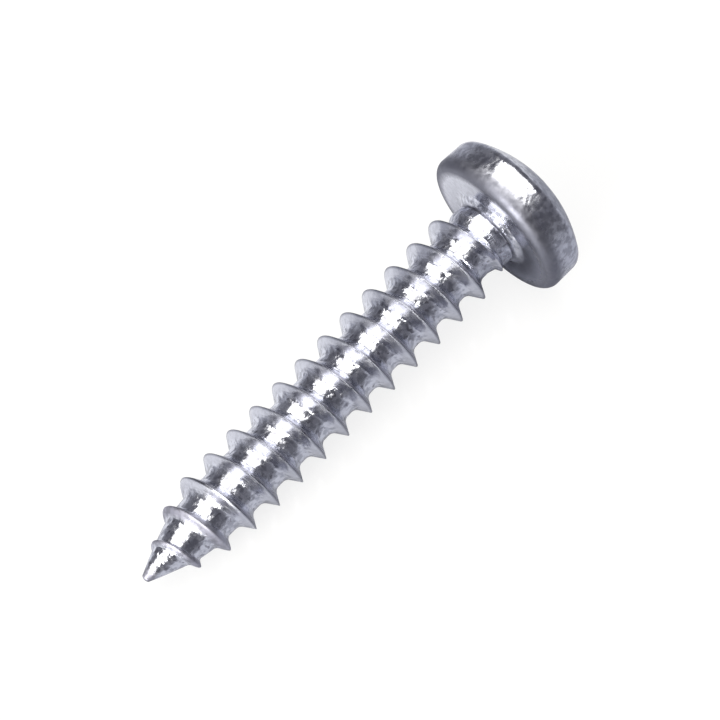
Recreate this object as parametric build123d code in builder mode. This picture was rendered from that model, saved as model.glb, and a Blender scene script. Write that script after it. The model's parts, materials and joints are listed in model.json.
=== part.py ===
from build123d import *

import os
from math import atan2, ceil, cos, degrees, radians, sqrt, tan

from numpy import interp

# A zinc-plated pan head tapping screw with a gimlet point, lying on its side as it comes to rest.
# It is one piece of steel: a blank with its head upset from the wire, a cross recess pressed into the crown,
# and a wide-spaced right-hand thread rolled onto the shank and down round the point.
# It is built standing on its point, with its axis on Z and the point at Z = 0, and is laid down at the end.

# Driving sizes, in millimetres and degrees. Heights are measured from the tip of the point.

# Shank
screw_length = 19.24  # from the tip of the point to the bearing face of the head
root_diameter = 2.38
neck_diameter = 2.79  # of the unthreaded wire just under the head
neck_length = 0.7
neck_swell_length = 0.6  # the stretch over which the root grows to the neck
neck_flare = 0.4  # of the cone from the neck to the bearing face, the same across and along

# Point
point_flat_diameter = 0.2  # of the blunt end
point_cone_height = 1.5  # the top of the steep cone at the tip
point_cone_diameter = 1.6
shoulder_height = 3.1  # where the shallow cone above it reaches the root

# Thread
thread_pitch = 1.27
thread_diameter = 3.53  # at the head end
thread_start_diameter = 3.33  # where the thread reaches its full form, above the point
full_thread_height = 3.6
flank_angle = 35.5  # of the upper half of each flank, from square to the axis
flank_foot_angle = 43.0  # of its lower half, which flares out into the root
flank_foot_height = 0.26
crest_width = 0.06
point_crest_height = 1.9  # where the crest bends on its way round the point
point_crest_diameter = 2.44
first_crest_height = 0.55  # where the ridge begins, still inside the cone
run_out_length = 0.75  # the stretch over which the crest sinks to the neck
buried_crest_depth = 0.02  # how deep the crest lies where the ridge begins and ends
ridge_toe_depth = 0.04  # how far the flanks go on into the shank
ridge_foot_depth = 0.12
stretch_turns = 2  # the longest stretch that one set of helical faces covers

# Head
head_diameter = 6.52
head_height = 2.59
head_side_draw = 0.04  # how much the side draws in towards the crown
crown_radius = 5.3
crown_shoulder_radius = 0.45
bearing_edge_chamfer = 0.2

# Cross recess
recess_diameter = 3.9  # across the wings, at the top of the crown
recess_depth = 1.9
recess_end_taper = 26.5  # of the ends of the wings, from the axis
recess_floor_diameter = 1.1
recess_floor_slope = 28.0
recess_wing_width = 1.25
recess_wing_draft = 5.75

# How it lies
roll_angle = 133.8  # about its own axis

# Sizes that follow from these
root_radius = root_diameter / 2
neck_radius = neck_diameter / 2
head_radius = head_diameter / 2
neck_height = screw_length - neck_length
swell_height = neck_height - neck_swell_length
crown_height = screw_length + head_height
crown_center_height = crown_height - crown_radius
side_top_radius = head_radius - head_side_draw
side_top_angle = degrees(atan2(sqrt(crown_radius**2 - side_top_radius**2), side_top_radius))
recess_radius = recess_diameter / 2
recess_floor_radius = recess_floor_diameter / 2
recess_floor_height = crown_height - recess_depth

# The bare shank runs straight between these heights.
shank_heights = (0, point_cone_height, shoulder_height, swell_height, neck_height, screw_length)
shank_radii = (point_flat_diameter / 2, point_cone_diameter / 2, root_radius, root_radius, neck_radius, neck_radius)


def shank_radius(height):
    """Return the radius of the bare shank at a height."""
    return interp(height, shank_heights, shank_radii)


# The crest of the thread runs straight between these.
run_out_height = neck_height - run_out_length
crest_heights = (first_crest_height, point_crest_height, full_thread_height, run_out_height, neck_height)
crest_radii = (
    shank_radius(first_crest_height) - buried_crest_depth,
    point_crest_diameter / 2,
    thread_start_diameter / 2,
    thread_diameter / 2,
    neck_radius - buried_crest_depth,
)

# The full section of the ridge on one side of its crest: reach along the axis, and rise above the toe
ridge_rise = thread_diameter / 2 - root_radius + ridge_toe_depth
foot_rise = flank_foot_height + ridge_toe_depth
crest_reach = crest_width / 2
foot_reach = crest_reach + (ridge_rise - foot_rise) * tan(radians(flank_angle))
toe_reach = foot_reach + foot_rise * tan(radians(flank_foot_angle))
ridge_side = ((toe_reach, 0.0), (foot_reach, foot_rise), (crest_reach, ridge_rise))
ridge_section = [(-reach, rise) for reach, rise in ridge_side]
ridge_section += reversed(ridge_side)


def ridge_corners(height):
    """Return the (radius, height) of each corner of the ridge where its crest is at a height.

    The section keeps its form, shrinks as its crest nears the shank, and follows the slope of the shank. Its
    foot goes straight down from both toes.
    """
    toe_radius = shank_radius(height) - ridge_toe_depth
    scale = (interp(height, crest_heights, crest_radii) - toe_radius) / ridge_rise
    corners = []
    for reach, rise in ridge_section:
        corner_height = height + scale * reach
        corners.append((shank_radius(corner_height) - ridge_toe_depth + scale * rise, corner_height))
    low_toe_radius, low_toe_height = corners[0]
    high_toe_radius, high_toe_height = corners[-1]
    low_foot = (low_toe_radius - ridge_foot_depth, low_toe_height)
    high_foot = (high_toe_radius - ridge_foot_depth, high_toe_height)
    return [low_foot, *corners, high_foot]


def corner_path(start, end, crest_start, crest_end):
    """Return the helix that one corner of the ridge follows while the crest climbs between two heights."""
    start_radius, start_height = start
    end_radius, end_height = end
    climb = end_height - start_height
    spread = atan2(end_radius - start_radius, climb)
    turns = (crest_end - crest_start) / thread_pitch
    path = Helix(
        pitch=climb / cos(spread) / turns,
        height=climb,
        radius=start_radius,
        center=(0, 0, start_height),
        cone_angle=degrees(spread),
    )
    return path.rotate(Axis.Z, 360 * crest_start / thread_pitch)


def ridge_stretch(crest_start, crest_end):
    """Return the solid ridge between two heights of its crest."""
    ends = zip(ridge_corners(crest_start), ridge_corners(crest_end))
    paths = [corner_path(start, end, crest_start, crest_end) for start, end in ends]
    sides = [
        Face.make_surface_from_curves(path, next_path)
        for path, next_path in zip(paths, paths[1:] + paths[:1])
    ]
    caps = [Face(Wire.make_polygon([path @ end for path in paths])) for end in (0, 1)]
    return Solid(Shell(sides + caps))


# The ridge is made in stretches between the heights where the crest, or the shank under its middle or its
# toe, bends. Its long even stretch is made in equal lengths of a few turns each.
even_end_height = swell_height - toe_reach
even_length = even_end_height - full_thread_height
stretch_count = ceil(even_length / (stretch_turns * thread_pitch))
stations = {*crest_heights, *shank_heights[1:4], even_end_height}
stations.update(full_thread_height + index * even_length / stretch_count for index in range(1, stretch_count))
stations = sorted(stations)
ridge_stretches = [ridge_stretch(low, high) for low, high in zip(stations, stations[1:])]

# The form of the cross recess: four tapered wings, within a cone with a shallow floor
end_slope = tan(radians(recess_end_taper))
floor_slope = tan(radians(recess_floor_slope))
floor_corner_radius = (recess_radius - (recess_depth + recess_floor_radius * floor_slope) * end_slope) / (
    1 - floor_slope * end_slope
)
floor_corner_height = recess_floor_height + (floor_corner_radius - recess_floor_radius) * floor_slope
with BuildPart() as recess:
    with BuildSketch(Plane.XY.offset(crown_height)):
        Rectangle(recess_diameter, recess_wing_width)
        Rectangle(recess_wing_width, recess_diameter)
    extrude(amount=-recess_depth, taper=recess_wing_draft)
    with BuildSketch(Plane.XZ):
        with BuildLine():
            Polyline(
                (0, crown_height),
                (recess_radius, crown_height),
                (floor_corner_radius, floor_corner_height),
                (recess_floor_radius, recess_floor_height),
                (0, recess_floor_height),
                close=True,
            )
        make_face()
    revolve(axis=Axis.Z, mode=Mode.INTERSECT)

# The blank, with its thread and its recess
with BuildPart() as standing_screw:
    with BuildSketch(Plane.XZ) as half_profile:
        with BuildLine():
            crown = CenterArc((0, crown_center_height), crown_radius, side_top_angle, 90 - side_top_angle)
            shank = Polyline((0, 0), *zip(shank_radii, shank_heights), (head_radius, screw_length), crown @ 0)
            Line(crown @ 1, shank @ 0)
        make_face()
        crown_corner = half_profile.vertices().sort_by_distance(crown @ 0)[0]
        fillet(crown_corner, crown_shoulder_radius)
        bearing_corner = half_profile.vertices().sort_by_distance((head_radius, screw_length))[0]
        chamfer(bearing_corner, bearing_edge_chamfer)
        neck_corner = half_profile.vertices().sort_by_distance((neck_radius, screw_length))[0]
        chamfer(neck_corner, neck_flare)
    revolve(axis=Axis.Z)
    add(ridge_stretches)
    add(recess.part, mode=Mode.SUBTRACT)

# It lies on the rim of its head and on the first full crest that faces down.
contact_height = full_thread_height + (-full_thread_height - thread_pitch * roll_angle / 360) % thread_pitch
contact_radius = interp(contact_height, crest_heights, crest_radii)
rim_height = screw_length + bearing_edge_chamfer
lean_angle = degrees(atan2(head_radius - contact_radius, rim_height - contact_height))
laid_down = Rot(Y=90 - lean_angle) * Rot(Z=roll_angle) * standing_screw.part
resting_box = laid_down.bounding_box()

# The finished screw, its head towards +X and the middle of its footprint at the origin
with BuildPart() as screw:
    with Locations((-resting_box.center().X, -resting_box.center().Y, -resting_box.min.Z)):
        add(laid_down)

screw.part.label = "screw"
os.makedirs("parts", exist_ok=True)
export_step(screw.part, "parts/screw.step")
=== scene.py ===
import json
import logging
import math
from dataclasses import dataclass, field
from enum import Enum

import bmesh
import bpy
import numpy as np
from mathutils import Matrix, Vector

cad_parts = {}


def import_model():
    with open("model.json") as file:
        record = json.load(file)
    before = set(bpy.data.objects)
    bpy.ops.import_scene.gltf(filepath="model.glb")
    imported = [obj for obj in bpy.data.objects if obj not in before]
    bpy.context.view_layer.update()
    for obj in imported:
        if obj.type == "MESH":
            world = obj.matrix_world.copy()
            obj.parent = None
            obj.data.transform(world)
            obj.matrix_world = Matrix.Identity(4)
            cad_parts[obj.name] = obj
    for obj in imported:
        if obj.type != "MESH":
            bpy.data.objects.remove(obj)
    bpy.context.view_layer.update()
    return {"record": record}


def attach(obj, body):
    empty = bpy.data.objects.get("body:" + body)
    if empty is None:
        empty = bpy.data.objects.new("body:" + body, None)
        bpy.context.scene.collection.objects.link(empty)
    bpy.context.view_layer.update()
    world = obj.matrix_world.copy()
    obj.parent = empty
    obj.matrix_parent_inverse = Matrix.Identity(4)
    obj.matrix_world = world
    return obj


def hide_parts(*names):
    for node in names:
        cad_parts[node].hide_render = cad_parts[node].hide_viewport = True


log = logging.getLogger("screw")

MM = 0.001
WHITE = (1.0, 1.0, 1.0, 1.0)
WATTS_FOR_WHITE = 4.0  # of a square metre of lamp, for a face of full white
SMALLEST_SINE = 1e-6  # keeps the side of a wing finite along its own middle
SMALLEST_RADIUS = 0.1  # nearer to the axis, the way from it means nothing
SETTLING_ROUNDS = 40  # more than the edges of the recess need to settle

Color = tuple[float, float, float, float]
Span = tuple[float, float]
Socket = bpy.types.NodeSocket
Array = np.ndarray


@dataclass(frozen=True)
class Fineness:
    """How finely the mesh is cut: counts, lengths in millimetres, and an angle in degrees."""

    columns: int = 120
    crown_rings: int = 8
    wall_rings: int = 8
    floor_rings: int = 5
    section_round: int = 5
    section_run: float = 0.13
    outline_round: int = 8
    outline_run: float = 0.3
    shoulder_round: int = 12
    shoulder_search: int = 4000
    point_cut: float = 0.4
    neck_cut: float = 0.18
    windings: float = 7.0
    smallest_ridge: float = 0.02
    weld_distance: float = 0.0006
    sharp_angle: float = 42.0


def ease(share: Array) -> Array:
    """Return a share kept from 0 to 1, with gentle ends."""
    kept = np.clip(share, 0.0, 1.0)
    return kept * kept * (3.0 - 2.0 * kept)


@dataclass(frozen=True)
class Lie:
    """Where the screw lies: its tip, and the way its axis runs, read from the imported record.

    Sizes are in millimetres and the roll is in degrees about the screw's own axis.
    """

    tip: Vector
    along: Vector
    roll: float = 133.8

    @classmethod
    def from_record(cls, record: dict, crown_height: float) -> "Lie":
        """Find the tip from the mount at the top of the crown.

        Args:
            record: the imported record.
            crown_height: the height of the crown over the tip.

        Returns:
            The lie of the screw.
        """
        recess = next(mount for mount in record["mounts"] if mount["name"] == "drive_recess")
        along = Vector(recess["axis"]).normalized()
        tip = Vector(recess["pos_m"]) / MM - along * crown_height
        return cls(tip=tip, along=along)

    def matrix(self) -> Matrix:
        """Return the matrix from the standing screw, in millimetres, to the scene, in metres."""
        side = Vector((0.0, 1.0, 0.0))
        down = side.cross(self.along)
        axes = Matrix((down, side, self.along)).transposed().to_4x4()
        turn = Matrix.Rotation(math.radians(self.roll), 4, "Z")
        return Matrix.Scale(MM, 4) @ Matrix.Translation(self.tip) @ axes @ turn

    def standing(self, points: Array) -> Array:
        """Return points of the scene as they are on the standing screw, in millimetres."""
        upright = np.array(self.matrix().inverted())
        return points @ upright[:3, :3].T + upright[:3, 3]


@dataclass(frozen=True)
class Shank:
    """The bare wire of the screw, from its point to the head. Sizes in millimetres, angles in degrees."""

    length: float = 19.24
    root_diameter: float = 2.33
    neck_diameter: float = 2.79
    neck_length: float = 0.7
    swell_length: float = 0.6
    groove_width: float = 0.14
    groove_depth: float = 0.07
    collar_height: float = 0.16
    collar_width: float = 0.36
    collar_foot: float = 0.1
    collar_edge: float = 0.02
    neck_rounds: tuple[float, ...] = (0.01, 0.08, 0.15)
    tip_radius: float = 0.28
    point_half_angle: float = 24.0
    shoulder_softness: float = 0.4

    @property
    def thread_end(self) -> float:
        """The height where the smooth neck starts: under the groove and the collar."""
        return self.length - self.collar_height - self.groove_width

    @property
    def groove_height(self) -> float:
        """The height of the middle of the groove."""
        return self.length - self.collar_height - self.groove_width / 2

    def radius(self, height: Array) -> Array:
        """Return the radius of the bare shank.

        Args:
            height: heights over the tip.

        Returns:
            The radius at each height.
        """
        slope = math.tan(math.radians(self.point_half_angle))
        apex = self.tip_radius * (1.0 - 1.0 / math.sin(math.radians(self.point_half_angle)))
        cone = (height - apex) * slope
        root = self.root_diameter / 2
        bowed = (cone + root - np.sqrt((cone - root) ** 2 + self.shoulder_softness**2)) / 2
        below = np.clip(self.tip_radius - height, 0.0, self.tip_radius)
        ball = np.sqrt(self.tip_radius**2 - below**2)
        core = np.where(height < self.tip_radius, np.minimum(bowed, ball), bowed)
        top = self.length - self.neck_length
        swell = (self.neck_diameter / 2 - root) * ease((height - top + self.swell_length) / self.swell_length)
        return core + swell


@dataclass(frozen=True)
class Thread:
    """The rolled right-hand thread. Sizes in millimetres, angles in degrees."""

    pitch: float = 1.27
    diameter: float = 3.53
    start_diameter: float = 3.33
    full_height: float = 3.6
    tip_flank_angle: float = 35.0
    head_flank_angle: float = 31.5
    crest_width: float = 0.01
    crest_rounding: float = 0.01
    root_rounding: float = 0.34
    point_crest_height: float = 1.9
    point_crest_diameter: float = 2.44
    first_crest_height: float = 0.55
    run_out_length: float = 0.75
    soft_heights: tuple[float, ...] = (1.0, 2.4, 4.2)
    softness: tuple[float, ...] = (0.5, 0.32, 0.0)

    def crest_radius(self, height: Array, shank: Shank) -> Array:
        """Return the radius of the crest.

        Args:
            height: heights of the crest over the tip.
            shank: the wire that the thread is rolled onto.

        Returns:
            The radius of the crest at each height.
        """
        end = shank.length - shank.neck_length
        corners = [
            (self.first_crest_height, float(shank.radius(np.array(self.first_crest_height)))),
            (self.point_crest_height, self.point_crest_diameter / 2),
            (self.full_height, self.start_diameter / 2),
            (end - self.run_out_length, self.diameter / 2),
            (end, shank.neck_diameter / 2),
        ]
        return np.interp(height, *zip(*corners))

    def section(self, full_rise: float, fineness: Fineness) -> Array:
        """Return the section of one ridge, rounded at its root and its crest.

        Args:
            full_rise: how high the crest stands over the root.
            fineness: how finely it is cut.

        Returns:
            Rows of (reach along the axis, rise over the root), from toe to toe.
        """
        half_crest = self.crest_width / 2
        tip_foot = half_crest + full_rise * math.tan(math.radians(self.tip_flank_angle))
        head_foot = half_crest + full_rise * math.tan(math.radians(self.head_flank_angle))
        corners = [
            (-self.pitch / 2, 0.0),
            (-tip_foot, 0.0),
            (-half_crest, full_rise),
            (half_crest, full_rise),
            (head_foot, 0.0),
            (self.pitch / 2, 0.0),
        ]
        radii = [self.root_rounding, self.crest_rounding, self.crest_rounding, self.root_rounding]
        rounded = round_corners(corners, radii, fineness.section_round)[1:-1]
        return subdivide(rounded, fineness.section_run)


@dataclass(frozen=True)
class Head:
    """The pan head. Sizes in millimetres, angles in degrees.

    It sits a little off the shank's axis and a little askew, as it left the dies.
    """

    diameter: float = 6.52
    height: float = 2.59
    side_draw: float = 0.04
    crown_radius: float = 5.3
    shoulder_radius: float = 0.45
    bearing_edge_radius: float = 0.4
    off_center: float = 0.1
    askew: float = 2.5


def round_corners(corners: list[Span], radii: list[float], steps: int) -> list[Span]:
    """Round the inner corners of an open outline.

    Args:
        corners: the corners, with both ends.
        radii: one radius for each inner corner.
        steps: how many pieces each round is made of.

    Returns:
        The points of the rounded outline.
    """
    points = [corners[0]]
    for before, corner, after, radius in zip(corners, corners[1:], corners[2:], radii):
        here = Vector(corner)
        back = (Vector(before) - here).normalized()
        on = (Vector(after) - here).normalized()
        half = back.angle(on) / 2
        reach = radius / math.tan(half)
        middle = here + (back + on).normalized() * (radius / math.sin(half))
        start = here + back * reach - middle
        end = here + on * reach - middle
        sweep = start.angle_signed(end)
        for step in range(steps + 1):
            turned = Matrix.Rotation(-sweep * step / steps, 2) @ start
            points.append(tuple(middle + turned))
    points.append(corners[-1])
    return points


def subdivide(points: list[Span], longest: float) -> Array:
    """Cut the long runs of an outline into equal lengths.

    Args:
        points: the points of the outline.
        longest: the longest run that is left whole.

    Returns:
        The points as rows.
    """
    rows = [points[0]]
    for start, end in zip(points, points[1:]):
        pieces = max(1, math.ceil(math.dist(start, end) / longest))
        run = np.array(end) - np.array(start)
        rows += [tuple(np.array(start) + run * number / pieces) for number in range(1, pieces + 1)]
    return np.array(rows)


@dataclass(frozen=True)
class CrossRecess:
    """The cross recess pressed into the crown. Sizes in millimetres, angles in degrees."""

    diameter: float = 3.9
    depth: float = 1.9
    end_taper: float = 26.5
    floor_diameter: float = 1.1
    floor_slope: float = 28.0
    wing_width: float = 1.25
    wing_draft: float = 5.75
    lip: float = 0.05
    lip_round: Span = (0.25, 0.12)
    wing_corner_draw: float = 0.15

    def reach(self, angle: Array, depth: Array) -> Array:
        """Return how far the recess reaches from the axis.

        Args:
            angle: angles about the axis, in radians, with a wing at zero.
            depth: depths under the top of the crown.

        Returns:
            The reach at each angle and depth.
        """
        quarter = math.pi / 2
        from_wing = np.abs((angle + quarter / 2) % quarter - quarter / 2)
        half_width = self.wing_width / 2 - depth * math.tan(math.radians(self.wing_draft))
        side = half_width / np.maximum(np.sin(from_wing), SMALLEST_SINE)
        end = self.diameter / 2 - depth * math.tan(math.radians(self.end_taper))
        return np.minimum(side, end)

    def floor_depth(self, reach: Array) -> Array:
        """Return the depth of the floor at a distance from the axis."""
        rise = np.maximum(reach - self.floor_diameter / 2, 0.0) * math.tan(math.radians(self.floor_slope))
        return self.depth - rise


@dataclass
class MeshParts:
    """Collects the points and faces of one closed mesh, in millimetres."""

    points: list[Array] = field(default_factory=list)
    faces: list[tuple[int, ...]] = field(default_factory=list)
    count: int = 0

    def add(self, points: Array) -> Array:
        """Add points, and return their numbers."""
        numbers = np.arange(self.count, self.count + len(points))
        self.points.append(points)
        self.count += len(points)
        return numbers

    def ring(self, radii: Array | float, heights: Array | float, angles: Array) -> Array:
        """Add a ring about the axis.

        Args:
            radii: the distance of the points from the axis.
            heights: the height of the points.
            angles: the angle of each point, in radians.

        Returns:
            The numbers of the points.
        """
        columns = np.broadcast_arrays(radii * np.cos(angles), radii * np.sin(angles), heights)
        return self.add(np.stack(columns, axis=1))

    def join(self, *corners: Array) -> None:
        """Add faces, from the numbers of all their first corners, their second ones and so on."""
        self.faces += [tuple(map(int, face)) for face in zip(*corners)]

    def strip(self, low: Array, high: Array) -> None:
        """Join two open chains of points of the same count by four-sided faces."""
        self.join(low, low[1:], high[1:], high)

    def band(self, low: Array, high: Array) -> Array:
        """Join two rings of the same count by four-sided faces, and return the upper one."""
        self.join(low, np.roll(low, -1), np.roll(high, -1), high)
        return high

    def fan(self, chain: Array, middle: int) -> None:
        """Join the runs of an open chain of points to one point in its middle."""
        self.join(chain, chain[1:], [middle] * len(chain))

    def mesh(self, name: str, placed: Matrix) -> bpy.types.Mesh:
        """Make the mesh.

        Args:
            name: the mesh's name.
            placed: the matrix that lays it down in the scene.

        Returns:
            The mesh, not yet welded.
        """
        made = bpy.data.meshes.new(name)
        made.from_pydata(np.concatenate(self.points).tolist(), [], self.faces)
        made.transform(placed)
        made.validate()
        return made


class Mark(Enum):
    """The mesh attributes that the finish reads."""

    DIE_MARKS = "die_marks"
    RINGS = "ring_radius"
    # a rougher plate, with painted shade in its colour
    DULLNESS_AND_SHADE = "dullness_and_shade"
    # painted shade, and a painted shadow beside the neck
    PAINTED_SHADE = "painted_shade"


@dataclass(frozen=True)
class Spots:
    """Where the points of the mesh are on the screw.

    Heights and radii are in millimetres, the rise is a share of the full thread, and the reach past the crest
    is a share of one turn. The way from the axis runs in the scene.
    """

    height: Array
    over_bearing: Array
    radius: Array
    rise: Array
    past_crest: Array
    away: Array


@dataclass(frozen=True)
class WearAndShade:
    """How the dies left the skin of the screw, and where shade is painted into its colour, in amounts from 0
    to 1. Spans are in the units of Spots.
    """

    spots: Spots
    shank: Shank
    recess: CrossRecess
    head_start: float = 0.02
    neck_zone: float = 0.25
    marked_rises: Span = (0.12, 0.45)
    marked_radii: Span = (1.5, 1.9)
    even_marks: float = 0.12
    head_marks: float = 0.5
    head_marks_height: float = 0.3
    recess_marks: float = 0.25
    recess_start: float = 0.62
    ring_zone: float = 0.6
    ring_climb: float = 0.5
    # painted shade: the head-side flanks get a darker colour along with a rougher plate
    shaded_flank_rises: Span = (0.45, 0.75)
    shaded_flank_side: Span = (0.005, 0.02)
    shaded_flank_amount: float = 0.7
    # painted shade: a dark line along the crests
    crest_rises: Span = (0.7, 0.85)
    crest_sides: Span = (0.02, 0.035)
    crest_painted_shade: float = 0.9
    # the point's ridges and its end get a rougher plate and painted shade in their colour
    point_heights: Span = (2.7, 3.7)
    point_rises: Span = (0.05, 0.25)
    point_end_heights: Span = (0.25, 0.55)
    point_dullness_and_shade: float = 0.9
    # painted shade in the groove under the head, along with a rougher plate
    groove_sides: Span = (0.03, 0.06)
    groove_reach: float = 1.5
    groove_margin: float = 0.05
    groove_dullness_and_shade: float = 0.6
    groove_painted_shade: float = 0.55
    # painted shade on the round edge of the bearing face, along with a rougher plate
    edge_heights: Span = (0.45, 0.75)
    edge_radii: Span = (2.72, 2.92)
    edge_inner_heights: Span = (0.12, 0.35)
    edge_amounts: Span = (0.95, 0.65)
    # painted shadow: a dark patch on the bearing face beside the neck, on the side facing away from the light
    # and down
    painted_shadow_side: tuple[float, float, float] = (0.0, -0.9, -0.44)
    painted_shadow_facing: Span = (0.35, 0.85)
    painted_shadow_radii: tuple[float, ...] = (1.5, 1.75, 2.1, 2.8)
    painted_shadow_amounts: tuple[float, ...] = (0.0, 0.9, 0.75, 0.0)

    def die_marks(self) -> Array:
        """Return how deep the dies' marks are: deep in the roots, faint on flanks and bearing face."""
        height, radius = self.spots.over_bearing, self.spots.radius
        on_thread = np.interp(self.spots.rise, self.marked_rises, (1.0, self.even_marks))
        under_head = np.interp(radius, self.marked_radii, (1.0, self.even_marks))
        head_heights = (self.head_start, self.head_start + self.head_marks_height)
        on_head = np.interp(height, head_heights, (self.even_marks, self.head_marks))
        near_head = np.where(height < self.head_start, under_head, on_head)
        marks = np.where(height < -self.neck_zone, on_thread, near_head)
        in_recess = (height > self.recess_start) & (radius < self.recess.diameter / 2)
        return np.where(in_recess, self.recess_marks, marks)

    def ring_places(self) -> Array:
        """Return the place among the turned rings at the neck and on the bearing face, in millimetres."""
        ringed = (self.spots.over_bearing > -self.ring_zone) & (self.spots.over_bearing < self.head_start)
        return np.where(ringed, self.spots.radius + self.spots.height * self.ring_climb, 0.0)

    def below_groove(self) -> Array:
        """Return which spots lie on the shank, clear of the groove under the head."""
        return self.spots.height < self.shank.groove_height - self.groove_margin

    def groove(self) -> Array:
        """Return which spots lie in the groove."""
        beside = np.abs(self.spots.height - self.shank.groove_height)
        return np.interp(beside, self.groove_sides, (1.0, 0.0)) * (self.spots.radius < self.groove_reach)

    def bearing_edge(self) -> Array:
        """Return the painted shade and dullness of the round edge of the bearing face, most of all where the
        face begins.
        """
        height = self.spots.over_bearing
        upwards = np.interp(height, self.edge_heights, (1.0, 0.0))
        outwards = np.interp(self.spots.radius, self.edge_radii, (0.0, 1.0))
        return upwards * outwards * np.interp(height, self.edge_inner_heights, self.edge_amounts)

    def dullness_and_shade(self) -> Array:
        """Return how dull the plate is, which makes it rougher and also paints shade into its colour: on the
        head-side flanks, the point's ridges, the groove and edge.
        """
        shaded_flank = np.interp(self.spots.rise, self.shaded_flank_rises, (0.0, 1.0))
        shaded_flank = shaded_flank * np.interp(self.spots.past_crest, self.shaded_flank_side, (0.0, 1.0))
        point_ridges = np.interp(self.spots.height, self.point_heights, (self.point_dullness_and_shade, 0.0))
        point_ridges = point_ridges * np.interp(self.spots.rise, self.point_rises, (0.0, 1.0))
        point_end = np.interp(self.spots.height, self.point_end_heights, (self.point_dullness_and_shade, 0.0))
        on_shank = np.maximum.reduce([shaded_flank * self.shaded_flank_amount, point_ridges, point_end])
        on_head = np.maximum(self.groove_dullness_and_shade * self.groove(), self.bearing_edge())
        return np.where(self.below_groove(), on_shank, on_head)

    def painted_shade(self) -> Array:
        """Return the painted shade: on the crests, in the groove and on the edge, and a painted shadow beside
        the neck.
        """
        crest = np.interp(np.abs(self.spots.past_crest), self.crest_sides, (1.0, 0.0))
        crest = crest * np.interp(self.spots.rise, self.crest_rises, (0.0, 1.0))
        painted_shadow = np.interp(self.spots.away @ np.array(self.painted_shadow_side), self.painted_shadow_facing, (0.0, 1.0))
        painted_shadow = painted_shadow * np.interp(self.spots.radius, self.painted_shadow_radii, self.painted_shadow_amounts)
        painted_shadow = painted_shadow * (self.spots.over_bearing < self.head_start)
        on_head = [self.groove_painted_shade * self.groove(), self.bearing_edge(), painted_shadow]
        return np.where(self.below_groove(), self.crest_painted_shade * crest, np.maximum.reduce(on_head))


def add_object(name: str, data: bpy.types.ID) -> bpy.types.Object:
    """Put an object with its data into the scene."""
    made = bpy.data.objects.new(name, data)
    bpy.context.scene.collection.objects.link(made)
    return made


def way(turn: float, rise: float) -> Vector:
    """Return the way that is turned about the vertical and then raised, both in degrees."""
    turned, raised = math.radians(turn), math.radians(rise)
    level = math.cos(raised)
    return Vector((level * math.cos(turned), level * math.sin(turned), math.sin(raised)))


def mesh_points(mesh: bpy.types.Mesh) -> Array:
    """Return the points of a mesh as rows."""
    points = np.empty(len(mesh.vertices) * 3)
    mesh.vertices.foreach_get("co", points)
    return points.reshape(-1, 3)


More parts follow.
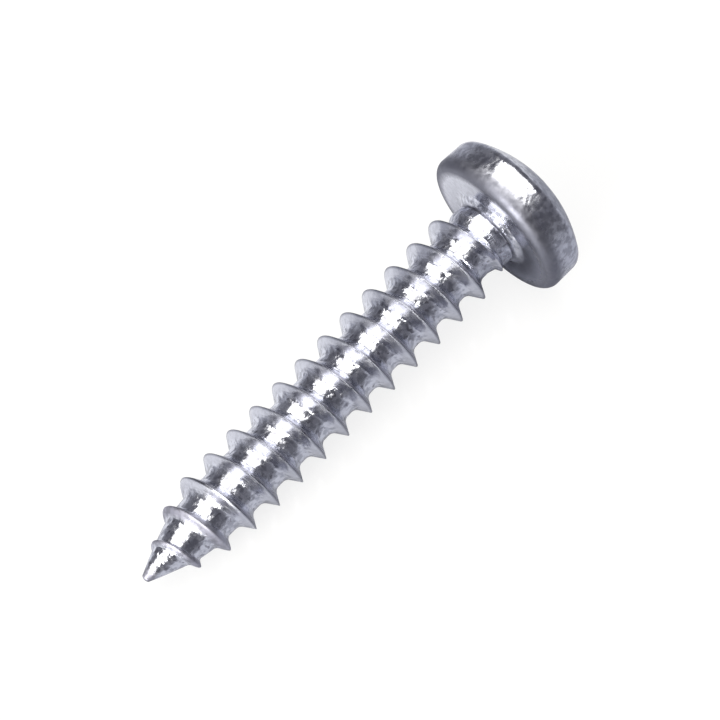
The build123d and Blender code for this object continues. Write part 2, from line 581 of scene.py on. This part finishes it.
@dataclass
class Screw:
    """The whole screw, one piece of steel: its thread, its neck and its head."""

    shank: Shank = Shank()
    thread: Thread = Thread()
    head: Head = Head()
    recess: CrossRecess = CrossRecess()
    fineness: Fineness = Fineness()
    parts: MeshParts = field(default_factory=MeshParts)
    ring_angles: Array = field(default_factory=lambda: np.empty(0))

    @property
    def crown_height(self) -> float:
        """The height of the top of the crown over the tip."""
        return self.shank.length + self.head.height

    @property
    def full_rise(self) -> float:
        """How high the full crest stands over the root."""
        return self.thread.diameter / 2 - self.shank.root_diameter / 2

    def wound_height(self, unwound: Array) -> Array:
        """Let the turns come ever closer towards the tip and towards the neck, where nothing is threaded.

        Args:
            unwound: heights on an endless even thread.

        Returns:
            The heights on the screw.
        """
        cut = self.fineness.point_cut
        span = self.fineness.neck_cut
        top = self.shank.thread_end
        near_tip = cut * np.exp((np.minimum(unwound, cut) - cut) / cut)
        near_neck = top - span * np.exp(-(np.maximum(unwound, top - span) - top + span) / span)
        return np.where(unwound < cut, near_tip, np.where(unwound > top - span, near_neck, unwound))

    def ridge_scale(self, crest_height: Array) -> Array:
        """Return the size of the ridge, as a share of its full size.

        Args:
            crest_height: heights of the crest over the tip.

        Returns:
            The share at each height, which is nothing before the ridge begins and along the smooth neck.
        """
        bare_radius = self.shank.radius(np.maximum(crest_height, 0.0))
        rise = self.thread.crest_radius(crest_height, self.shank) - bare_radius
        scale = np.clip(rise / self.full_rise, 0.0, None)
        past_end = crest_height >= self.shank.length - self.shank.neck_length
        return np.where((crest_height <= self.thread.first_crest_height) | past_end, 0.0, scale)

    def ridge_reach(self, across: Array, scale: Array) -> Array:
        """Return how far along the axis the points of the ridge lie from its crest.

        Args:
            across: the reach of each point in the full section.
            scale: the size of the ridge at each step of the winding.

        Returns:
            The reach of each point, one row a step. The roots take up the room that a smaller ridge leaves.
        """
        half_pitch = self.thread.pitch / 2
        toe = float(np.max(np.abs(across[1:-1])))
        inner = np.clip(np.abs(across) / toe, 0.0, 1.0) * np.sign(across)
        outer = across - inner * toe
        row_scale = scale[:, None]
        reach = inner * toe * row_scale + outer / (half_pitch - toe) * (half_pitch - toe * row_scale)
        return np.where(row_scale > self.fineness.smallest_ridge, reach, across)

    def ridge_rise(self, rise: Array, crest_height: Array, scale: Array) -> Array:
        """Return how far the points of the ridge stand over the shank, with softer crests near the point.

        Args:
            rise: the rise of each point in the full section.
            crest_height: the height of the crest at each step of the winding.
            scale: the size of the ridge at each step.

        Returns:
            The rise of each point, one row a step.
        """
        soft = np.interp(crest_height, self.thread.soft_heights, self.thread.softness)[:, None]
        under = 1.0 - rise / self.full_rise
        eased = 1.0 - np.sqrt(under**2 + soft**2) + (np.sqrt(1.0 + soft**2) - 1.0) * under
        return scale[:, None] * self.full_rise * eased / (1.0 - soft)

    def threaded_part(self) -> Array:
        """Build the point and the threaded shank, in one strip wound along the thread.

        Returns:
            The numbers of the ring that the neck goes on from.
        """
        pitch, fine = self.thread.pitch, self.fineness
        columns = fine.columns
        top = self.shank.thread_end
        start = math.floor((fine.point_cut * (1.0 - fine.windings) - pitch) / pitch * columns)
        stop = math.ceil((top + fine.neck_cut * fine.windings + pitch) / pitch * columns)
        turn = np.arange(start, stop + 1)
        crest_height = turn * pitch / columns
        section = self.thread.section(self.full_rise, fine)
        scale = self.ridge_scale(crest_height)
        height = self.wound_height(crest_height[:, None] + self.ridge_reach(section[:, 0], scale))
        radius = self.shank.radius(height) + self.ridge_rise(section[:, 1], crest_height, scale)
        angle = (2 * math.pi * turn / columns)[:, None]
        grid = np.stack([radius * np.cos(angle), radius * np.sin(angle), height], axis=-1)
        numbers = self.wind(grid)
        tip = self.parts.add(np.zeros((1, 3)))[0]
        self.parts.fan([*numbers[columns::-1, 0], *numbers[0, 1:]], tip)
        self.ring_angles = angle[-columns - 1 : -1, 0]
        ring = self.parts.ring(self.shank.neck_diameter / 2, top, self.ring_angles)
        self.parts.strip(numbers[-columns - 1 :, -1], np.append(ring, ring[0]))
        self.parts.fan(numbers[-1], ring[0])
        return ring

    def wind(self, grid: Array) -> Array:
        """Add the wound strip, where the last point of each step is the first point one turn later.

        Args:
            grid: the points, one row a step of the winding.

        Returns:
            The numbers of the points, in the same rows.
        """
        columns = self.fineness.columns
        rows, across = len(grid), grid.shape[1] - 1
        numbers = np.empty((rows, across + 1), dtype=int)
        numbers[:, :across] = self.parts.add(grid[:, :across].reshape(-1, 3)).reshape(rows, across)
        numbers[:-columns, across] = numbers[columns:, 0]
        numbers[-columns:, across] = self.parts.add(grid[-columns:, across])
        for low, high in zip(numbers, numbers[1:]):
            self.parts.join(low[:-1], high[:-1], high[1:], low[1:])
        return numbers

    def head_outline(self) -> Array:
        """Return the outline of the head, from neck to rim, as rows of (radius, height)."""
        shank, head, fine = self.shank, self.head, self.fineness
        length = shank.length
        neck = shank.neck_diameter / 2
        rim = head.diameter / 2
        middle = self.crown_height - head.crown_radius
        side_top = rim - head.side_draw
        side_height = middle + math.sqrt(head.crown_radius**2 - side_top**2)
        corners = [
            (neck, shank.thread_end),
            (neck - shank.groove_depth, shank.groove_height),
            (neck + shank.collar_foot, length - shank.collar_height),
            (neck + shank.collar_width, length - shank.collar_edge),
            (rim, length),
            (side_top, side_height),
        ]
        below = round_corners(corners, [*shank.neck_rounds, head.bearing_edge_radius], fine.outline_round)
        draw = (rim - side_top) / (side_height - length)
        slant = math.hypot(1.0, draw)
        height = np.linspace(length, self.crown_height, fine.shoulder_search)
        round_middle = rim - draw * (height - length) - head.shoulder_radius * slant
        gap = np.hypot(round_middle, height - middle) - (head.crown_radius - head.shoulder_radius)
        at = int(np.argmax(gap > 0))
        out, up = round_middle[at], height[at]
        first = math.atan(draw)
        last = math.atan2(up - middle, out)
        turns = np.linspace(first, last, fine.shoulder_round + 1)
        radius = head.shoulder_radius
        shoulder = [(out + radius * math.cos(turn), up + radius * math.sin(turn)) for turn in turns]
        return subdivide([*below[1:-1], *shoulder], fine.outline_run)

    def head_part(self, ring: Array) -> None:
        """Build the groove, the collar, the head and the recess.

        Args:
            ring: the numbers of the ring at the top of the shank.
        """
        for radius, height in self.head_outline()[1:]:
            ring = self.parts.band(ring, self.parts.ring(radius, height, self.ring_angles))
        rim_radius, fine = float(radius), self.fineness
        lip_angle, lip_reach = self.lip()
        lip_out = lip_reach + self.recess.lip
        for step in range(1, fine.crown_rings + 1):
            share = step / fine.crown_rings
            reach = rim_radius + (lip_out - rim_radius) * share
            height = self.crown_height - self.crown_drop(reach)
            turned = self.ring_angles + (lip_angle - self.ring_angles) * share
            ring = self.parts.band(ring, self.parts.ring(reach, height, turned))
        ring = self.recess_walls(ring, lip_angle, lip_reach)
        middle = self.parts.add(np.array([[0.0, 0.0, self.crown_height - self.recess.depth]]))[0]
        self.parts.fan([*ring, ring[0]], middle)

    def crown_drop(self, reach: Array) -> Array:
        """Return how far the crown has dropped at a distance from the axis."""
        return self.head.crown_radius - np.sqrt(self.head.crown_radius**2 - reach**2)

    def lip(self) -> tuple[Array, Array]:
        """Return the angles and the reaches of the recess's edge on the crown.

        The columns of the mesh are drawn to the corners of the wings.
        """
        columns = self.fineness.columns
        per_quarter = columns // 4
        end_columns = per_quarter // 3
        corner_reach = self.recess.diameter / 2 - self.recess.wing_corner_draw
        half_angle = math.asin(self.recess.wing_width / 2 / corner_reach)
        numbers = np.round(self.ring_angles / (2 * math.pi / columns)).astype(int)
        place = (numbers + per_quarter // 2) % per_quarter - per_quarter // 2
        half_end = end_columns / 2
        half_all = per_quarter / 2
        inside = place / half_end * half_angle
        past = (np.abs(place) - half_end) / (half_all - half_end) * (math.pi / 4 - half_angle) + half_angle
        local = np.where(np.abs(place) <= half_end, inside, np.sign(place) * past)
        angle = self.ring_angles - place * 2 * math.pi / columns + local
        reach = np.full(len(angle), self.recess.diameter / 2)
        for _ in range(SETTLING_ROUNDS):
            reach = self.recess.reach(angle, self.crown_drop(reach))
        return angle, reach

    def recess_walls(self, ring: Array, angle: Array, lip_reach: Array) -> Array:
        """Build the lip, the walls and the floor of the recess.

        Args:
            ring: the numbers of the last ring on the crown.
            angle: the angle of each column.
            lip_reach: the reach of each column at the edge.

        Returns:
            The numbers of the last ring round the middle of the floor.
        """
        fine, lip, top = self.fineness, self.recess.lip, self.crown_height
        top_depth = self.crown_drop(lip_reach)
        foot_depth = np.full(len(angle), self.recess.depth)
        for _ in range(SETTLING_ROUNDS):
            foot_depth = (foot_depth + self.recess.floor_depth(self.recess.reach(angle, foot_depth))) / 2
        out, under = self.recess.lip_round
        lip_ring = self.parts.ring(lip_reach + lip * out, top - top_depth - lip * under, angle)
        ring = self.parts.band(ring, lip_ring)
        for step in range(fine.wall_rings + 1):
            depth = top_depth + lip + (foot_depth - top_depth - lip) * step / fine.wall_rings
            ring = self.parts.band(ring, self.parts.ring(self.recess.reach(angle, depth), top - depth, angle))
        foot_reach = self.recess.reach(angle, foot_depth)
        for step in range(1, fine.floor_rings + 1):
            share = 1.0 - step / (fine.floor_rings + 1)
            reach = foot_reach * share
            ring = self.parts.band(ring, self.parts.ring(reach, top - self.recess.floor_depth(reach), angle))
        return ring

    def mark(self, mesh: bpy.types.Mesh, lie: Lie) -> None:
        """Store on the mesh what its finish needs to know.

        Args:
            mesh: the laid-down mesh.
            lie: where it lies.
        """
        points = mesh_points(mesh)
        standing = lie.standing(points)
        height = standing[:, 2]
        radius = np.hypot(standing[:, 0], standing[:, 1])
        turned = np.arctan2(standing[:, 1], standing[:, 0]) / (2 * math.pi)
        middle = np.array(lie.matrix() @ Vector((0.0, 0.0, self.shank.length)))
        spots = Spots(
            height=height,
            over_bearing=height - self.shank.length,
            radius=radius,
            rise=(radius - self.shank.radius(np.maximum(height, 0.0))) / self.full_rise,
            past_crest=(height / self.thread.pitch - turned + 0.5) % 1.0 - 0.5,
            away=(points - middle) / MM / np.maximum(radius, SMALLEST_RADIUS)[:, None],
        )
        wear_and_shade = WearAndShade(spots, self.shank, self.recess)
        stored_marks = {
            Mark.DIE_MARKS: wear_and_shade.die_marks(),
            Mark.RINGS: wear_and_shade.ring_places(),
            Mark.DULLNESS_AND_SHADE: wear_and_shade.dullness_and_shade(),
            Mark.PAINTED_SHADE: wear_and_shade.painted_shade(),
        }
        for mark, values in stored_marks.items():
            stored = mesh.attributes.new(mark.value, "FLOAT", "POINT")
            stored.data.foreach_set("value", values.astype(np.float32))

    def knock_head(self, mesh: bpy.types.Mesh, lie: Lie) -> None:
        """Set the head a little off the shank's axis and a little askew, as it left the dies.

        Args:
            mesh: the laid-down mesh.
            lie: where it lies.
        """
        points = mesh_points(mesh)
        neck = self.shank.neck_length
        share = ease((lie.standing(points)[:, 2] - self.shank.length + neck) / neck)
        middle = np.array(lie.matrix() @ Vector((0.0, 0.0, self.shank.length)))
        out = points - middle
        turn = -math.radians(self.head.askew) * share
        along = out[:, 0] * np.cos(turn) - out[:, 1] * np.sin(turn)
        across = out[:, 0] * np.sin(turn) + out[:, 1] * np.cos(turn) - self.head.off_center * MM * share
        knocked = np.stack([along, across, out[:, 2]], axis=1)
        mesh.vertices.foreach_set("co", (knocked + middle).ravel())
        mesh.update()

    def build(self, lie: Lie) -> bpy.types.Object:
        """Build the screw and lay it down.

        Args:
            lie: where the screw lies.

        Returns:
            The screw's object.
        """
        ring = self.threaded_part()
        self.head_part(ring)
        mesh = self.parts.mesh("tapping_screw", lie.matrix())
        weld(mesh, self.fineness)
        self.mark(mesh, lie)
        self.knock_head(mesh, lie)
        piece = add_object("tapping_screw", mesh)
        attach(piece, "root")
        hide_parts("screw")
        log.info("screw: %d faces", len(mesh.polygons))
        return piece


def weld(mesh: bpy.types.Mesh, fineness: Fineness) -> None:
    """Weld the points that lie together, turn the faces outwards and shade them smooth.

    Args:
        mesh: the mesh to clean.
        fineness: how near points have to be, and from which angle on an edge is sharp.
    """
    clean = bmesh.new()
    clean.from_mesh(mesh)
    bmesh.ops.remove_doubles(clean, verts=clean.verts, dist=fineness.weld_distance * MM)
    bmesh.ops.recalc_face_normals(clean, faces=clean.faces)
    clean.to_mesh(mesh)
    clean.free()
    mesh.shade_smooth()
    mesh.set_sharp_from_angle(angle=math.radians(fineness.sharp_angle))


@dataclass(frozen=True)
class Clouds:
    """Soft irregular clouds: the size of one in millimetres, and how many finer layers lie in it."""

    size: float
    detail: float


@dataclass
class NodeBench:
    """Adds shader nodes to one tree in few words."""

    tree: bpy.types.NodeTree

    def add(self, kind: str, settings: dict | None = None, **inputs: object) -> bpy.types.Node:
        """Add a node.

        Args:
            kind: the node's type.
            settings: its own settings.
            inputs: what goes into its sockets, by name: a socket to link from, or a value.

        Returns:
            The node.
        """
        node = self.tree.nodes.new(kind)
        for name, value in (settings or {}).items():
            setattr(node, name, value)
        for name, value in inputs.items():
            self.feed(node.inputs[name.replace("_", " ")], value)
        return node

    def feed(self, socket: Socket, value: object) -> None:
        """Feed a socket.

        Args:
            socket: the socket.
            value: a socket to link from, or a value to set.
        """
        if isinstance(value, Socket):
            self.tree.links.new(value, socket)
        else:
            socket.default_value = value

    def clouds(self, place: Socket, clouds: Clouds) -> Socket:
        """Add soft irregular clouds, and return their value, near 0.5 on average."""
        scale = 1.0 / (clouds.size * MM)
        return self.add("ShaderNodeTexNoise", Vector=place, Scale=scale, Detail=clouds.detail).outputs["Fac"]

    def mark(self, mark: Mark) -> Socket:
        """Read one of the marks stored on the mesh."""
        return self.add("ShaderNodeAttribute", {"attribute_name": mark.value}).outputs["Fac"]

    def between(self, value: Socket, span: Span, ends: Span = (0.0, 1.0)) -> Socket:
        """Turn a range of values into another one, smoothly and within its ends.

        Args:
            value: the value.
            span: where the new range starts and ends.
            ends: the results at and under its start, and at and over its end.

        Returns:
            The result.
        """
        node = self.add("ShaderNodeMapRange", {"interpolation_type": "SMOOTHSTEP"}, Value=value)
        for name, number in zip(("From Min", "From Max", "To Min", "To Max"), (*span, *ends)):
            node.inputs[name].default_value = number
        return node.outputs["Result"]

    def calculate(self, operation: str, *values: Socket | float) -> Socket:
        """Calculate with values and numbers.

        Args:
            operation: what the math node does.
            values: what goes into it, in order.

        Returns:
            The result.
        """
        node = self.tree.nodes.new("ShaderNodeMath")
        node.operation = operation
        for socket, value in zip(node.inputs, values):
            self.feed(socket, value)
        return node.outputs[0]

    def bump(self, relief: Socket, depth: float, under: Socket | None = None) -> Socket:
        """Lay a relief over the surface, or over another relief.

        Args:
            relief: its height, from 0 to 1.
            depth: how deep it goes, in millimetres.
            under: the normal of the relief under it.

        Returns:
            The normal.
        """
        node = self.add("ShaderNodeBump", Height=relief, Distance=depth * MM)
        if under is not None:
            self.feed(node.inputs["Normal"], under)
        return node.outputs["Normal"]

    def blend(self, share: Socket, one: Socket | Color, other: Socket | Color) -> Socket:
        """Blend two colours.

        Args:
            share: how much of the other one shows.
            one: the colour at a share of nothing.
            other: the colour at a full share.

        Returns:
            The blended colour.
        """
        node = self.tree.nodes.new("ShaderNodeMix")
        node.data_type = "RGBA"
        self.tree.links.new(share, node.inputs["Factor"])
        for name, value in (("A", one), ("B", other)):
            socket = next(socket for socket in node.inputs if socket.name == name and socket.type == "RGBA")
            self.feed(socket, value)
        return next(socket for socket in node.outputs if socket.type == "RGBA")


@dataclass(frozen=True)
class ZincPlate:
    """Bright zinc plate on rolled steel: bluish grey, cloudy, and finely rough where the dies pressed it. Its
    colour also holds painted shade: darker where it is dull, on the crests, in the groove, on the bearing
    edge, and a painted shadow beside the neck.
    """

    light_color: Color = (0.86, 0.875, 0.95, 1.0)
    dark_color: Color = (0.54, 0.55, 0.61, 1.0)
    even_color: Color = (0.74, 0.75, 0.82, 1.0)
    speck_color: Color = (0.40, 0.40, 0.45, 1.0)
    # painted shade: the darker colours where the plate is dull
    dull_shade_color: Color = (0.37, 0.366, 0.44, 1.0)
    dark_dull_shade_color: Color = (0.27, 0.268, 0.32, 1.0)
    # the colour of the painted shade and the painted shadow
    painted_shade_color: Color = (0.19, 0.195, 0.235, 1.0)
    patches: Clouds = Clouds(0.24, 2.0)
    patch_values: Span = (0.42, 0.64)
    dull_patch_values: Span = (0.40, 0.62)
    mottled_marks: Span = (0.1, 0.5)
    least_mottling: float = 0.25
    specks: Clouds = Clouds(0.17, 0.0)
    speck_values: Span = (0.64, 0.76)
    smooth_roughness: float = 0.13
    dull_roughness: float = 0.26
    roughness_values: Span = (0.3, 0.7)
    dullness_roughness: float = 0.38
    ring_scale: float = 9.0
    ring_depth: float = 0.004
    dents: Clouds = Clouds(0.34, 1.5)
    dent_depth: float = 0.055
    grain: Clouds = Clouds(0.1, 1.0)
    grain_depth: float = 0.005
    swells: Clouds = Clouds(0.9, 2.0)
    swell_depth: float = 0.012

    def color(self, bench: NodeBench, place: Socket) -> Socket:
        """Colour the plate, and paint shade into it.

        Args:
            bench: what adds the nodes.
            place: the coordinates, in metres.

        Returns:
            The colour at each place.
        """
        marks = bench.mark(Mark.DIE_MARKS)
        patches = bench.clouds(place, self.patches)
        clouded = bench.blend(bench.between(patches, self.patch_values), self.light_color, self.dark_color)
        mottling = bench.between(marks, self.mottled_marks, (self.least_mottling, 1.0))
        clouded = bench.blend(mottling, self.even_color, clouded)
        dull_patches = bench.between(patches, self.dull_patch_values)
        dull_shade = bench.blend(dull_patches, self.dull_shade_color, self.dark_dull_shade_color)
        # painted shade where the plate is dull
        clouded_and_shaded = bench.blend(bench.mark(Mark.DULLNESS_AND_SHADE), clouded, dull_shade)
        specks = bench.between(bench.clouds(place, self.specks), self.speck_values)
        speckled = bench.blend(bench.calculate("MULTIPLY", specks, marks), clouded_and_shaded, self.speck_color)
        # painted shade and the painted shadow beside the neck
        return bench.blend(bench.mark(Mark.PAINTED_SHADE), speckled, self.painted_shade_color)

    def relief(self, bench: NodeBench, place: Socket, dents: Socket) -> Socket:
        """Lay turned rings, dents, grain and wide swells over each other.

        Args:
            bench: what adds the nodes.
            place: the coordinates, in metres.
            dents: the clouds that the dents follow.

        Returns:
            The normal at each place.
        """
        marks = bench.mark(Mark.DIE_MARKS)
        places = bench.mark(Mark.RINGS)
        rings = bench.add("ShaderNodeTexNoise", {"noise_dimensions": "1D"}, W=places, Scale=self.ring_scale)
        ringed = bench.bump(rings.outputs["Fac"], self.ring_depth)
        dented = bench.bump(bench.calculate("MULTIPLY", dents, marks), self.dent_depth, ringed)
        grain = bench.clouds(place, self.grain)
        grained = bench.bump(bench.calculate("MULTIPLY", grain, marks), self.grain_depth, dented)
        return bench.bump(bench.clouds(place, self.swells), self.swell_depth, grained)

    def material(self) -> bpy.types.Material:
        """Make the finish."""
        made = bpy.data.materials.new("zinc_plate")
        made.use_nodes = True
        bench = NodeBench(made.node_tree)
        shader = made.node_tree.nodes["Principled BSDF"]
        place = bench.add("ShaderNodeTexCoord").outputs["Object"]
        dents = bench.clouds(place, self.dents)
        cloudy = bench.between(dents, self.roughness_values, (self.smooth_roughness, self.dull_roughness))
        dullness_and_shade = bench.mark(Mark.DULLNESS_AND_SHADE)
        roughness = bench.calculate("MULTIPLY_ADD", dullness_and_shade, self.dullness_roughness, cloudy)
        shader.inputs["Metallic"].default_value = 1.0
        bench.feed(shader.inputs["Base Color"], self.color(bench, place))
        bench.feed(shader.inputs["Roughness"], roughness)
        bench.feed(shader.inputs["Normal"], self.relief(bench, place, dents))
        return made


@dataclass(frozen=True)
class Softbox:
    """A soft light that faces the screw, level along its width. Sizes in metres, angles in degrees.

    A brightness of 1 makes its face as bright as a white floor seen by the camera.
    """

    name: str
    length: float
    width: float
    away: float
    elevation: float
    aside: float
    brightness: float
    azimuth: float = 180.0
    color: tuple[float, float, float] = (1.0, 0.985, 0.93)

    def build(self) -> None:
        """Hang the light."""
        lamp = bpy.data.lights.new(self.name, "AREA")
        lamp.shape = "RECTANGLE"
        lamp.size = self.width
        lamp.size_y = self.length
        lamp.color = self.color
        lamp.energy = WATTS_FOR_WHITE * self.width * self.length * self.brightness
        light = add_object(self.name, lamp)
        outwards = way(self.azimuth, self.elevation)
        light.location = outwards * self.away + Vector((0.0, self.aside, 0.0))
        light.rotation_euler = outwards.to_track_quat("Z", "Y").to_euler()


@dataclass(frozen=True)
class PhotoCamera:
    """The camera of the photograph. Lengths in millimetres, angles in degrees."""

    heading: float = 43.062
    looks_down: float = 62.062
    distance: float = 139.36
    lens: float = 183.61
    sensor_width: float = 36.0
    aim: tuple[float, float, float] = (0.738, -0.167, 2.977)
    nearest: float = 10.0
    farthest: float = 10000.0

    def build(self) -> None:
        """Make the camera, level, and set it as the scene's camera."""
        forward = way(self.heading, -self.looks_down)
        data = bpy.data.cameras.new("camera")
        data.lens = self.lens
        data.sensor_width = self.sensor_width
        data.clip_start = self.nearest * MM
        data.clip_end = self.farthest * MM
        camera = add_object("camera", data)
        camera.location = (Vector(self.aim) - forward * self.distance) * MM
        camera.rotation_euler = (-forward).to_track_quat("Z", "Y").to_euler()
        bpy.context.scene.camera = camera


@dataclass(frozen=True)
class Studio:
    """The pale floor, the room and the soft light. Sizes in metres, shares of white from 0 to 1.

    The floor is white to the camera. Seen only in the screw's mirror, it glows white ahead of the point, and
    more faintly on its lit side and beside the shank: painted reflections and painted light, not lamps.
    """

    floor_half: float = 1.5
    floor_color: Color = (0.30, 0.31, 0.36, 1.0)
    floor_grain_color: Color = (0.26, 0.27, 0.32, 1.0)
    floor_grain: Clouds = Clouds(2.0, 2.0)
    floor_grain_values: Span = (0.3, 0.7)
    floor_grain_share: float = 0.03
    floor_roughness: float = 0.14
    floor_ior: float = 1.5
    seen_color: Color = (0.95, 0.95, 0.95, 1.0)
    seen_white: float = 0.82
    mirrored_strength: float = 1.4
    white_ahead: Span = (-0.03, -0.018)
    white_ahead_sides: Span = (0.010, 0.016)
    near_sides: Span = (0.006, 0.010)
    lit_side: Span = (0.001, 0.004)
    lit_side_white: float = 0.286
    clear_of_head: Span = (0.005, 0.008)
    shank_white: float = 0.13
    low_wall: Color = (0.195, 0.197, 0.22, 1.0)
    high_wall: Color = (0.125, 0.125, 0.145, 1.0)
    wall_turns_dark: float = 0.4
    softboxes: tuple[Softbox, ...] = (
        Softbox("over", length=1.2, width=0.64, away=0.51, elevation=80.0, aside=0.12, brightness=1.8),
        Softbox("tip_end", length=0.6, width=0.46, away=0.85, elevation=19.0, aside=-0.13, brightness=9.0),
    )

    def mirrored_white(self, bench: NodeBench, place: Socket) -> Socket:
        """Paint a white glow on the floor that shows only where the screw mirrors it: a painted reflection.

        Args:
            bench: what adds the nodes.
            place: the coordinates, in metres.

        Returns:
            How white each place is in the screw's mirror.
        """
        where = bench.add("ShaderNodeSeparateXYZ", Vector=place)
        sideways = bench.calculate("ABSOLUTE", where.outputs["Y"])
        ahead = bench.between(where.outputs["X"], self.white_ahead, (1.0, 0.0))
        full = bench.calculate("MULTIPLY", ahead, bench.between(sideways, self.white_ahead_sides, (1.0, 0.0)))
        lit = bench.between(where.outputs["Y"], self.lit_side, (0.0, self.lit_side_white))
        beside = bench.between(where.outputs["X"], self.clear_of_head, (self.shank_white, 0.0))
        near = bench.between(sideways, self.near_sides, (1.0, 0.0))
        faint = bench.calculate("MULTIPLY", near, bench.calculate("ADD", lit, beside))
        return bench.blend(full, faint, WHITE)

    def floor_material(self) -> bpy.types.Material:
        """Make the floor's surface: pale and finely clouded, white to the camera, and shaded by the screw."""
        made = bpy.data.materials.new("pale_floor")
        made.use_nodes = True
        tree = made.node_tree
        tree.nodes.clear()
        bench = NodeBench(tree)
        path = bench.add("ShaderNodeLightPath")
        seen = path.outputs["Is Camera Ray"]
        place = bench.add("ShaderNodeTexCoord").outputs["Object"]
        clouds = bench.clouds(place, self.floor_grain)
        grain = bench.between(clouds, self.floor_grain_values, (0.0, self.floor_grain_share))
        grained = bench.blend(grain, self.floor_color, self.floor_grain_color)
        colored = bench.blend(seen, grained, self.seen_color)
        matt = bench.add(
            "ShaderNodeBsdfPrincipled", Base_Color=colored, Roughness=self.floor_roughness, IOR=self.floor_ior
        )
        strength = bench.between(seen, (0.0, 1.0), (self.mirrored_strength, 1.0))
        white = bench.add("ShaderNodeEmission", Color=WHITE, Strength=strength)
        glossy = path.outputs["Is Glossy Ray"]
        # painted reflection: this glow shows only to glossy rays, not to the camera
        mirrored = bench.calculate("MULTIPLY", glossy, self.mirrored_white(bench, place))
        share = bench.calculate("MAXIMUM", bench.calculate("MULTIPLY", seen, self.seen_white), mirrored)
        mixed = bench.add("ShaderNodeMixShader", Fac=share)
        bench.feed(mixed.inputs[1], matt.outputs[0])
        bench.feed(mixed.inputs[2], white.outputs[0])
        bench.add("ShaderNodeOutputMaterial", Surface=mixed.outputs[0])
        return made

    def floor(self) -> None:
        """Lay the pale floor under the screw."""
        half = self.floor_half
        mesh = bpy.data.meshes.new("floor")
        corners = [(-half, -half, 0), (half, -half, 0), (half, half, 0), (-half, half, 0)]
        mesh.from_pydata(corners, [], [(0, 1, 2, 3)])
        floor = add_object("floor", mesh)
        mesh.materials.append(self.floor_material())

    def room(self) -> None:
        """Set the walls of the room: darker high up, paler near the floor, and white behind the screw."""
        world = bpy.data.worlds.new("room")
        world.use_nodes = True
        tree = world.node_tree
        tree.nodes.clear()
        bench = NodeBench(tree)
        place = bench.add("ShaderNodeTexCoord").outputs["Generated"]
        height = bench.add("ShaderNodeSeparateXYZ", Vector=place).outputs["Z"]
        rise = bench.between(height, (0.0, self.wall_turns_dark))
        walls = bench.blend(rise, self.low_wall, self.high_wall)
        seen = bench.add("ShaderNodeLightPath").outputs["Is Camera Ray"]
        background = bench.add("ShaderNodeBackground", Color=bench.blend(seen, walls, WHITE))
        bench.add("ShaderNodeOutputWorld", Surface=background.outputs[0])
        bpy.context.scene.world = world

    def build(self) -> None:
        """Build the floor, the room and the light."""
        self.floor()
        self.room()
        for softbox in self.softboxes:
            softbox.build()
        log.info("studio built")


def main() -> None:
    """Build the screw and the studio round it."""
    logging.basicConfig(level=logging.INFO, format="%(name)s: %(message)s")
    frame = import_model()
    PhotoCamera().build()
    screw = Screw()
    lie = Lie.from_record(frame["record"], screw.crown_height)
    piece = screw.build(lie)
    piece.data.materials.append(ZincPlate().material())
    Studio().build()
    bpy.context.scene.view_settings.view_transform = "Standard"


if __name__ == "__main__":
    main()
